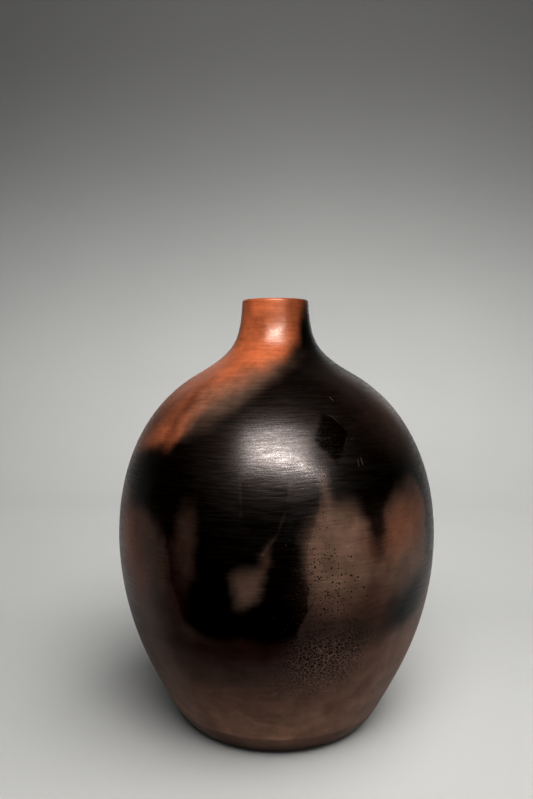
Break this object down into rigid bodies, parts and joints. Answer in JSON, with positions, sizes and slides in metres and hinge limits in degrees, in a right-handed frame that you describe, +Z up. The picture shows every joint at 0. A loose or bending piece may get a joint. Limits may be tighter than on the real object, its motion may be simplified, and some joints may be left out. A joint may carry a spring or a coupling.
{
  "type": "narrow-necked clay pot",
  "caption": "Hand-built ovoid storage pot of burnished, smoke-clouded clay with a round shoulder, a narrow straight neck and a small flat base.",
  "frame": {"origin": "centre of the flat base, on the ground", "axes": "+Z up through the mouth along the axis of revolution; -Y is the face with the red neck on its left and the smoked side on its right"},
  "size_m": [0.2262, 0.2262, 0.3],
  "materials": {
    "burnished_clay": "burnished unglazed red clay, fire-clouded from orange through brown to black, satin gloss with fine level burnishing strokes",
    "rubbed_foot_clay": "unglazed clay, smoothed but hardly burnished, rubbed paler on the foot roll"
  },
  "bodies": {
    "root": {"base_dish": "rubbed_foot_clay", "lower_bowl": "burnished_clay", "belly_band": "burnished_clay", "shoulder_band": "burnished_clay", "crown": "burnished_clay", "neck_collar": "burnished_clay", "lip_coil": "burnished_clay"}
  },
  "joints": []
}
